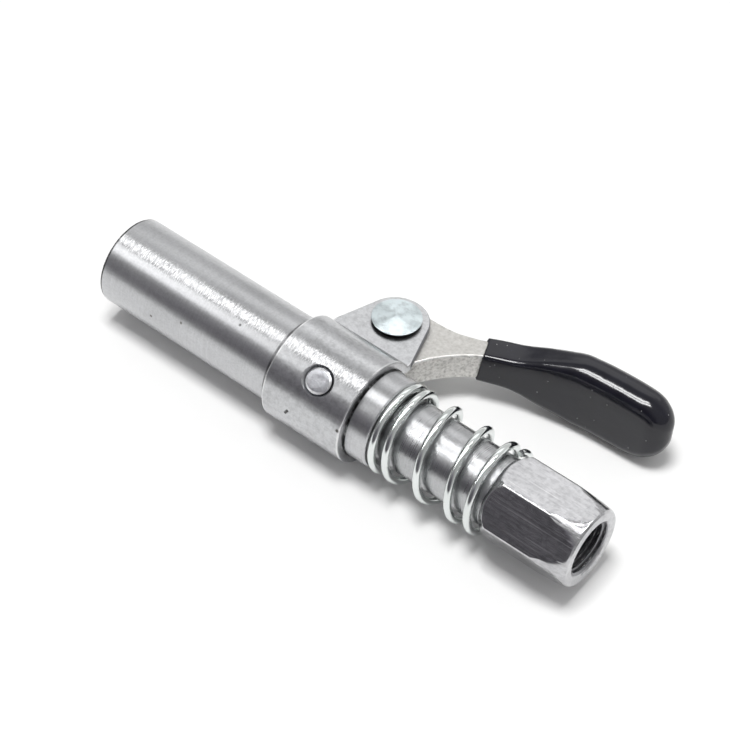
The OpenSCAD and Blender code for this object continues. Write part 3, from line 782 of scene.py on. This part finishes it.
def grip_rings(off):
    """Sections of the grip, off millimetres inside its skin, from its start to the nose."""
    O, I = spread(np.array(curve(skin_out, 10)), 110), spread(np.array(curve(skin_in, 10)), 110)
    C, E = (O + I) / 2, O - I
    D = np.linalg.norm(E, axis=1)
    E /= D[:, None]
    zz, rr = np.array(curve(skin_z, 8)), np.array(skin_r)
    tip = TIP - off
    got = [(C[i], E[i], D[i] / 2) for i in range(110) if C[i, 0] < tip - N_DOWN - 0.1]
    for x in tip - N_DOWN + N_DOWN * np.sin(np.linspace(0, math.pi / 2, 40)):
        e = np.array([np.interp(x, C[:, 0], E[:, 0]), np.interp(x, C[:, 0], E[:, 1])])
        got.append((np.array([x, np.interp(x, C[:, 0], C[:, 1])]), e / np.linalg.norm(e), np.interp(x, C[:, 0], D) / 2))
    rings = []
    for c, e, d in got:
        x = c[0]

        def shut(length, p=2.0):
            return max(0.0, 1 - min(max((x - (tip - length)) / length, 0), 1) ** p) ** (1 / p)

        w = np.interp(x, zz[:, 0], zz[:, 1]) - off
        rings.append((c, e, max((d - off) * shut(N_D), 0.02), max(w - N_UP * (1 - shut(N_UP)) * 0.92, 0.05),
                      max(w - N_DOWN * (1 - shut(N_DOWN, 2.2)) * 0.86, 0.05), max(0.2, np.interp(x, rr[:, 0], rr[:, 1]) - off)))
    return rings


outer = grip_rings(0.0)
c, e, d, up, down, rc = outer[0]
go = np.array([e[1], -e[0]])
loops = []
for k in range(5):
    # rolled lip where the dipped skin starts
    a = math.pi / 2 * k / 5
    inset = 0.42 * (1 - math.sin(a))
    loops.append(section(np.array(c) - go * (0.30 * math.cos(a)), e, d - inset, up - inset, down - inset, rc))
loops += [section(*r) for r in outer]
inner = [section(*r) for r in grip_rings(0.43)]
L = np.array(inner[:0:-1] + loops)
n_in, n_l, m = len(inner) - 1, len(L), L.shape[1]
rng = np.random.default_rng(7)
ph = rng.uniform(0, 6.28, 6)
v = 2 * math.pi * np.arange(m) / m
wob = 0.07 * np.sin(3 * v + ph[0]) + 0.05 * np.sin(7 * v + ph[1]) + 0.035 * np.sin(13 * v + ph[2])
for k in range(n_l):
    # the dip line leans back towards the lower side, and wavers a little
    step = k - n_in - 5 if k >= n_in + 5 else 0 if k >= n_in else n_in - k
    fade = max(0.0, 1 - step / 16)
    back = -0.95 * (3.15 - L[k, :, 2]) / 6.3 * fade + (wob * max(0.0, 1 - step / 6) if k >= n_in else 0)
    L[k, :, 0] += back * go[0]
    L[k, :, 1] += back * go[1]
faces, uvs = [], []
for i in range(n_l - 1):
    for j in range(m):
        j1 = (j + 1) % m
        faces.append((i * m + j, i * m + j1, (i + 1) * m + j1, (i + 1) * m + j))
        uvs.append([(i / 40, j / m), (i / 40, (j + 1) / m), ((i + 1) / 40, (j + 1) / m), ((i + 1) / 40, j / m)])
faces += [tuple(range(m))[::-1], tuple((n_l - 1) * m + j for j in range(m))]
uvs += [[(0, j / m) for j in range(m)][::-1], [(1, j / m) for j in range(m)]]
grip = add_mesh("lever_grip_skin", L.reshape(-1, 3), faces, uvs, 55)
finish_piece(settle(grip), "lever", grip_mat, "vinyl_grip", "lever_grip")

# ------------------------------------------------------------------ return spring
SX0, SX1, TURNS = SLV + 0.73, 80.45, 5.0
u = np.linspace(-0.2, 5.05, 720)
pitch = np.array(curve([(0, 0), (0.04, 0.004), (0.08, 0.02), (0.16, 0.067), (0.2, 0.0865), (0.3, 0.177), (0.4, 0.336), (0.5, 0.484), (0.6, 0.636), (0.7, 0.772), (0.8, 0.876), (0.9, 0.939), (1, 0.993)], 12))
q = np.clip(np.interp(u / TURNS, pitch[:, 0], pitch[:, 1]), 0, 1)
ends = np.ones((len(u), 20))
jag = rng.uniform(-1, 1, (2, 20))
for side_i, rows_ in ((0, range(0, 4)), (1, range(len(u) - 1, len(u) - 5, -1))):
    for k, r in enumerate(rows_):
        ends[r] = 1 - (0.30 - 0.08 * k) * (0.6 + 0.4 * jag[side_i]) * (1 if k < 3 else 0.4)
spring = wire("return_spring", SX0 + (SX1 - SX0) * q, 39.4 + 360 * u, 7.5, 0.7, 20, ends)
finish_piece(settle(spring), "core", spring_mat, "spring_zinc", "main_spring")
HEX_X = TL - 17.1
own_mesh(spring)

# ------------------------------------------------------------------ barrel
FX, HX = 13.4, 15.0
GX = TOE_C[0] - TOE_R - 0.22
barrel = revolve("barrel_core", [
    (FX, 1.95, 0.1), (FX, 3.9, 0.12), (FX + 0.12, 4.0, 0.05), (FX + 0.25, 4.0, 0.03), (FX + 0.25, 3.5, 0.08), (FX + 1.15, 3.5, 0.08), (FX + 1.15, 4.0, 0.03),
    (FX + 1.4, 4.0, 0.05), (FX + 1.4, 3.1, 0.1), (HX + 1.6, 3.1, 0.1), (HX + 1.6, 5.9, 0.08), (HX + 1.9, 6.2, 0.15), (GX, 6.2, 0.1), (GX, 3.9, 0.2),
    (GX + 6.25, 3.9, 0.3), (GX + 7.15, 6.2, 0.2), (HEX_X - 0.30, 6.2, 0.10), (HEX_X - 0.02, 5.95, 0.05), (HEX_X - 0.02, 5.0), (HEX_X + 5.7, 5.0, 0.1), (HEX_X + 6.0, 4.7, 0.1),
    (HEX_X + 6.0, 2.9, 0.1), (HEX_X - 3.4, 2.9, 0.3), (HEX_X - 4.2, 1.5), (27.6, 1.5), (27.0, 1.95)], 192)
finish_piece(settle(barrel), "core", barrel_mat, "barrel_steel", "core_barrel")

# ------------------------------------------------------------------ inlet fitting
SEAT = HEX_X + 7.1
n = 6
hexp = [(7.0 / math.cos(math.pi / 6) * math.cos(math.radians(58 + 60 * k)), 7.0 / math.cos(math.pi / 6) * math.sin(math.radians(58 + 60 * k))) for k in range(6)]
hexa = plate("inlet_hexagon", hexp, HEX_X - 1, TL + 1, 0.001, 1)
remap(hexa, lambda p: np.c_[p[:, 2], p[:, 0], p[:, 1]])
# the hexagon's corners: world 113 degrees is 118 in the rolled frame
turn = revolve("turn_tool", [(HEX_X, 0.0), (HEX_X, 6.55), (HEX_X + 1.9, 7.95, 0.8), (TL - 6, 7.95, 0.5), (TL - 0.35, 7.02, 0.3), (TL, 6.72, 0.12), (TL, 0.0)], 192)
hexa = cut(hexa, turn, mode="INTERSECT")
baked(hexa, [("BEVEL", {"width": 0.09, "segments": 3, "limit_method": "ANGLE", "angle_limit": math.radians(18), "harden_normals": False})])
PITCH, NT, NX = 25.4 / 27, 128, 170
xs = np.linspace(SEAT + 1.4, TL, NX)
th = 2 * math.pi * np.arange(NT) / NT
XX, TT = np.meshgrid(xs, th, indexing="ij")
pp = np.mod((XX - PITCH * TT / (2 * math.pi)) / PITCH, 1.0)
tri = np.abs(2 * pp - 1)
high = np.clip((tri - 0.12) / 0.72, 0, 1)
RR = 4.46 - (TL - XX) * 0.03 + 0.60 * high * np.clip((XX - SEAT - 2.0) / 0.8, 0, 1)
RR = np.maximum(RR, 5.15 - (TL - XX))
ring = [np.c_[xs_i * np.ones(NT), rr * np.cos(th), rr * np.sin(th)] for xs_i, rr in zip(xs, RR)]
ring.append(np.c_[np.full(NT, TL + 0.10), 5.32 * np.cos(th), 5.32 * np.sin(th)])
ring.append(np.c_[np.full(NT, TL + 1.0), 5.32 * np.cos(th), 5.32 * np.sin(th)])
V = np.concatenate(ring)
k = len(ring)
faces = [(i * NT + j, i * NT + (j + 1) % NT, (i + 1) * NT + (j + 1) % NT, (i + 1) * NT + j) for i in range(k - 1) for j in range(NT)]
faces += [tuple(range(NT))[::-1], tuple((k - 1) * NT + j for j in range(NT))]
thread = add_mesh("thread_tool", V, faces)
pocket = revolve("pocket_tool", [(HEX_X - 1, 0.0), (HEX_X - 1, 5.02), (SEAT, 5.02, 0.1), (SEAT, 1.7), (SEAT + 2.0, 1.7), (SEAT + 2.0, 0.0)], 128)
cut(hexa, thread, pocket, angle=30)
# the cut leaves a few faces without area
bm = bmesh.new()
bm.from_mesh(hexa.data)
bmesh.ops.dissolve_degenerate(bm, dist=0.002, edges=bm.edges)
bm.to_mesh(hexa.data)
bm.free()
finish_piece(even_normals(settle(hexa)), "core", hex_mat, "hex_chrome", "inlet_fitting")
hexa.data.materials.append(bore_shade_mat.m)
# painted shade: the faces inside the bore get the darker steel
for p in hexa.data.polygons:
    if math.hypot(p.center.y, p.center.z) < 0.00496:
        p.material_index = 1

washer = revolve("sealing_washer_ring", [(HEX_X + 6.03, 3.0, 0.12), (HEX_X + 6.03, 4.95, 0.12), (SEAT - 0.03, 4.95, 0.12), (SEAT - 0.03, 3.0, 0.12)], 96)
finish_piece(settle(washer), "core", washer_mat, "copper_washer", "sealing_washer")
BALL_X = SEAT - math.sqrt(2.4 ** 2 - 1.7 ** 2) - 0.06
ball = revolve("check_ball_steel", [(BALL_X + 2.4 * math.cos(a), 2.4 * math.sin(a) if 0 < i < 40 else 0.0) for i, a in enumerate(np.linspace(math.pi, 0, 41))], 80, angle=60)
finish_piece(settle(ball), "ball", ball_mat, "ball_steel", "check_ball")
u = np.linspace(0, 1, 420)
cs = wire("check_spring_coil", HEX_X - 3.1 + (BALL_X - 2.2 - HEX_X + 3.1) * u, 360 * 6 * u, 1.55, 0.25, 12)
finish_piece(settle(cs), "core", spring_mat, "spring_zinc", "check_spring")
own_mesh(cs)

# ------------------------------------------------------------------ jaws and seal
finish_piece(settle(torus("jaw_expander_o_ring", FX + 0.7, 4.08, 0.43)), "core", rubber_mat, "seal_rubber", "jaw_expander_ring")
for k in range(4):
    jaw = revolve("jaw_blank_%d" % (k + 1), [
        (0.25, 3.8, 0.15), (0.25, 6.88, 0.12), (4.0, 6.13, 0.10), (4.0, 5.75, 0.06), (HX + 1.4, 6.1, 0.12), (HX + 1.4, 4.0, 0.05), (HX, 4.0, 0.05), (HX, 4.7, 0.2),
        (2.8, 4.7, 0.5), (1.8, 3.0, 0.10), (1.05, 3.0, 0.10)], 60, 4, -55, 55)
    bead = revolve("bead_tool", [(-4.2, 0.0), (-4.2, 0.66), (4.2, 0.66), (4.2, 0.0)], 40)
    remap(bead, lambda p: np.c_[p[:, 1] + HX + 0.7, p[:, 2] + 4.0, p[:, 0]])
    cut(jaw, bead, mode="UNION")
    wedge = plate("wedge_tool", [(0.3, 0.0), (12, 11.7), (12, -11.7)], -1, 20, 0.02, 1)
    remap(wedge, lambda p: np.c_[p[:, 2], p[:, 0], -p[:, 1]])
    cut(jaw, wedge, mode="INTERSECT")
    baked(jaw, [("BEVEL", {"width": 0.10, "segments": 2, "limit_method": "ANGLE", "angle_limit": math.radians(50)})])
    a = math.radians(90 * k + 5)
    remap(jaw, lambda p, a=a: np.c_[p[:, 0], p[:, 1] * math.cos(a) - p[:, 2] * math.sin(a), p[:, 1] * math.sin(a) + p[:, 2] * math.cos(a)])
    jaw.name = "jaw_segment_%d" % (k + 1)
    finish_piece(even_normals(settle(jaw)), "jaw_%d" % (k + 1), jaw_mat, "jaw_steel", "jaw_%d" % (k + 1))
seal = revolve("nozzle_seal_cup", [(6.4, 3.3, 0.15), (6.4, 3.6, 0.08), (6.7, 3.9, 0.15), (11.0, 3.9, 0.2), (11.0, 1.1, 0.1), (8.4, 1.1, 0.25)], 96)
finish_piece(settle(seal), "seal", rubber_mat, "seal_rubber", "nozzle_seal")
piston = revolve("seal_piston_stem", [(11.03, 0.9, 0.08), (11.03, 3.8, 0.15), (12.1, 3.8, 0.12), (12.1, 1.9, 0.15), (15.6, 1.9, 0.05), (15.6, 1.3, 0.05), (16.6, 1.3, 0.05),
                                      (16.6, 1.9, 0.05), (18.6, 1.9, 0.15), (18.6, 0.9, 0.1)], 96)
finish_piece(settle(piston), "seal", brass_mat, "piston_brass", "seal_piston")
finish_piece(settle(torus("stem_o_ring_seal", 16.1, 1.61, 0.3, 80, 18)), "seal", rubber_mat, "seal_rubber", "stem_o_ring")
u = np.linspace(0, 1, 520)
ss = wire("seal_spring_coil", 18.88 + (27.0 - 0.28 - 18.88) * u, 360 * 8 * u, 1.4, 0.22, 12)
finish_piece(settle(ss), "core", spring_mat, "spring_zinc", "seal_spring")
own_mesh(ss)

# ------------------------------------------------------------------ stage, light and camera
FLOOR_Z = cad_lo.z - 0.00002
floor_me = bpy.data.meshes.new("floor")
floor_me.from_pydata([(-3, -3, FLOOR_Z), (3, -3, FLOOR_Z), (3, 3, FLOOR_Z), (-3, 3, FLOOR_Z)], [], [(0, 1, 2, 3)])
floor = bpy.data.objects.new("floor", floor_me)
scene.collection.objects.link(floor)
fm = Mat("floor_paper")
paper = fm.ramp(fm.noise(40, 3), (0.3, (0.925, 0.925, 0.92)), (0.7, (0.94, 0.94, 0.935)))
depth = fm.new("ShaderNodeSeparateXYZ", Vector=fm.tc.outputs["Object"])
# painted shade: the floor turns grey from 0.10 to 0.24 m in front of the object, outside the picture, as a dark sheet
# for the metal to reflect
fm.set(Base_Color=fm.mix(fm.span(depth.outputs["Y"], -0.10, -0.24, 0.0, 0.85), paper, (0.36, 0.36, 0.36)), Roughness=0.75)
fm.b.inputs["Specular IOR Level"].default_value = 0.2
floor.data.materials.append(fm.m)


def softbox(name, at, aim, size, power, colour=(1, 1, 1)):
    d = bpy.data.lights.new(name, "AREA")
    d.shape, d.size, d.size_y, d.energy, d.color = "RECTANGLE", size[0], size[1], power, colour
    o = bpy.data.objects.new(name, d)
    o.location = at
    o.rotation_euler = (Vector(aim) - Vector(at)).to_track_quat("-Z", "Y").to_euler()
    scene.collection.objects.link(o)
    return o


MID = (-0.045, 0.008, 0.0)


def strip(name, along, across, high, length, width, radiance):
    """A ceiling strip that runs level with the picture, placed by its distance along and across it."""
    a = math.radians(39.15)
    d, p = (math.cos(a), math.sin(a)), (-math.sin(a), math.cos(a))
    o = softbox(name, (d[0] * along + p[0] * across - 0.09675, d[1] * along + p[1] * across, high), MID, (length, width), radiance * math.pi * length * width)
    o.rotation_euler = (0, 0, a)
    return o


def only_on(light, name, *pieces):
    """A light that only these pieces see."""
    group = bpy.data.collections.new(name)
    for ob in pieces:
        group.objects.link(ob)
    light.visible_diffuse = False
    light.light_linking.receiver_collection = group


def not_on(light, name, *pieces):
    """A light that all but these pieces see."""
    only_on(light, name, *pieces)
    for entry in light.light_linking.receiver_collection.collection_objects:
        entry.light_linking.link_state = "EXCLUDE"


def bar(name, x, y, high, length, width, radiance):
    """A ceiling strip along the barrel."""
    o = softbox(name, (x, y, high), MID, (length, width), radiance * math.pi * length * width)
    o.rotation_euler = (0, 0, 0)
    return o


not_on(strip("tube_back", -0.15, 0.165, 0.60, 1.5, 0.026, 18.0), "back_but_body", grip, sleeve, collar)
not_on(strip("tube_front", -0.15, -0.07, 0.60, 1.5, 0.026, 18.0), "front_but_body", grip, sleeve, collar)
# the sleeve and collar: two stripes at their own angles, the front one ending towards the inlet
only_on(bar("body_back", -0.42, 0.018, 0.60, 1.5, 0.230, 1.95), "body_only_back", sleeve, collar)
only_on(bar("body_front", -0.80, -0.340, 0.60, 0.84, 0.320, 2.15), "body_only_front", sleeve, collar)
only_on(softbox("ear_back", (-0.41, 0.586, 0.567), MID, (1.5, 0.34), 1.26), "ear_only", collar)
# the dipped grip, the rivet and the plated hexagon get strips of their own, for their own streaks
only_on(strip("grip_back", -0.14, -0.045, 0.59, 0.40, 0.085, 28.0), "grip_only_back", grip)
only_on(strip("grip_front", -0.14, -0.175, 0.59, 0.40, 0.085, 28.0), "grip_only_front", grip)
only_on(strip("rivet_back", -0.15, 0.04, 0.59, 1.5, 0.05, 3.0), "rivet_only", rivet)
only_on(strip("hexagon_front", -0.15, -0.09, 0.59, 1.5, 0.16, 1.6), "hexagon_only", hexa)
not_on(softbox("box_back", (-0.42, 0.60, 0.58), MID, (1.5, 0.34), 0.99), "box_but_collar", collar)
key = softbox("key_top", (-0.06, -0.07, 1.0), (-0.05, 0.0, 0.0), (0.30, 0.30), 7.6)
key.visible_glossy = False

world = bpy.data.worlds.new("studio")
scene.world = world
world.use_nodes = True
wt = world.node_tree
bg = wt.nodes["Background"]
tc = wt.nodes.new("ShaderNodeTexCoord")
sep = wt.nodes.new("ShaderNodeSeparateXYZ")
wt.links.new(tc.outputs["Generated"], sep.inputs[0])
half = wt.nodes.new("ShaderNodeMapRange")
for kk, vv in (("From Min", -1.0), ("From Max", 1.0), ("To Min", 0.0), ("To Max", 1.0)):
    half.inputs[kk].default_value = vv
wt.links.new(sep.outputs["Y"], half.inputs["Value"])
sky = wt.nodes.new("ShaderNodeValToRGB")
stops = [(0.0, 0.10), (0.07, 0.12), (0.12, 0.26), (0.2, 0.40), (0.28, 0.46), (0.5, 0.50), (0.66, 0.40), (0.76, 0.50), (0.85, 0.72), (1.0, 0.70)]
while len(sky.color_ramp.elements) < len(stops):
    sky.color_ramp.elements.new(0.5)
for el, (pos, val) in zip(sky.color_ramp.elements, stops):
    el.position, el.color = pos, (val, val * (0.96 if val < 0.3 else 1.0), val * (1.06 if val < 0.3 else 1.0), 1)
wt.links.new(half.outputs["Result"], sky.inputs["Fac"])
wt.links.new(sky.outputs["Color"], bg.inputs["Color"])
# the room darkens towards the jaw end
dim = wt.nodes.new("ShaderNodeMapRange")
dim.interpolation_type = "SMOOTHSTEP"
for kk, vv in (("From Min", -0.95), ("From Max", -0.62), ("To Min", 0.15), ("To Max", 1.0)):
    dim.inputs[kk].default_value = vv
wt.links.new(sep.outputs["X"], dim.inputs["Value"])
wt.links.new(dim.outputs["Result"], bg.inputs["Strength"])

CAM = Vector((0.20352 - 0.09675, -0.18593, 0.29493))
AIM = Vector((0.04843 - 0.09675, 0.00453, 0.00380))
back_v = (CAM - AIM).normalized()
right_v = Vector((math.cos(math.radians(39.1545)), math.sin(math.radians(39.1545)), 0))
up_v = back_v.cross(right_v).normalized()
right_v = up_v.cross(back_v).normalized()
cam_d = bpy.data.cameras.new("camera")
cam_d.sensor_width, cam_d.lens = 36.0, 2317.9 / 730 * 36
cam_d.clip_start, cam_d.clip_end = 0.01, 20
cam = bpy.data.objects.new("camera", cam_d)
rot = Matrix((right_v, up_v, back_v)).transposed()
cam.matrix_world = Matrix.Translation(CAM) @ rot.to_4x4()
scene.collection.objects.link(cam)
scene.camera = cam
scene.view_settings.view_transform = "Standard"
